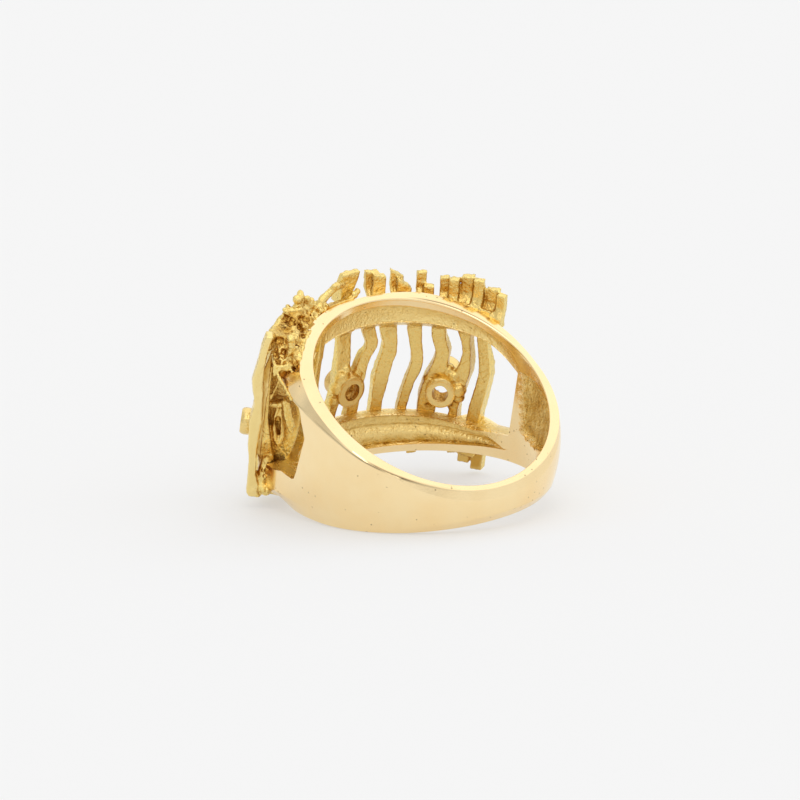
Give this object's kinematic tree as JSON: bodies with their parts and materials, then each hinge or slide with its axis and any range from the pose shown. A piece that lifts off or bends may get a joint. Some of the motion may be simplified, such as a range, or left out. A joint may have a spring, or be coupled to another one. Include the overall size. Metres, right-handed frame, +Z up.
{
  "type": "gold ring",
  "caption": "Gold dress ring: a plain band that widens into shoulders, with an openwork head of bent bark bars and small open tube settings, lying on its side.",
  "frame": {"origin": "on the surface the ring lies on, under the middle of its box", "axes": "+Z up, the head faces -Y and is tilted upwards, the finger axis leans from upright towards +Y"},
  "size_m": [0.0238, 0.0226, 0.0179],
  "materials": {
    "gold": "polished"
  },
  "bodies": {
    "root": {"ring": "gold"}
  },
  "joints": []
}
